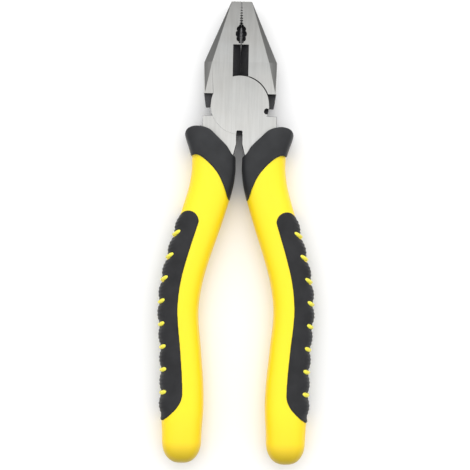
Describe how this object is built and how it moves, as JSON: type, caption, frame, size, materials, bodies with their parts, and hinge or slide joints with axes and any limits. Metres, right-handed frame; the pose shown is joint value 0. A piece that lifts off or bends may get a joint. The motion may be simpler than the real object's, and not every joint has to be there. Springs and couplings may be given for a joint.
{
  "type": "lineman pliers",
  "caption": "Lineman pliers with a lap joint, serrated jaws, pipe grip, side cutters and two-tone cushioned handles that open about a riveted pivot.",
  "frame": {"origin": "on the pivot axis, at the flat back face of the head (the rivet's ground-flush tail)", "axes": "+Y to the jaw tips along the midline of the shut pliers, +Z along the pivot towards the front face, +X to the right handle seen from the front"},
  "size_m": [0.0682, 0.2021, 0.0162],
  "materials": {
    "jaw_steel": "fine ground satin, black oxide in the recesses",
    "rivet_steel": "ground flush with the cheeks",
    "yellow_grip": "smooth semi-gloss moulding",
    "black_collar": "satin moulded rubber",
    "black_pad": "matt soft-touch rubber with a fine grain"
  },
  "bodies": {
    "front_half": {"front_half_forging": "jaw_steel", "pivot_rivet": "rivet_steel", "right_grip_sleeve": "yellow_grip", "right_guard_collar": "black_collar", "right_grip_pad": "black_pad"},
    "back_half": {"back_half_forging": "jaw_steel", "left_grip_sleeve": "yellow_grip", "left_guard_collar": "black_collar", "left_grip_pad": "black_pad"}
  },
  "joints": [
    {"name": "jaw_pivot", "type": "hinge", "parent": "front_half", "child": "back_half", "pos_m": [0, 0, 0.0055], "axis": [0, 0, -1], "range_deg": [0, 30]}
  ]
}
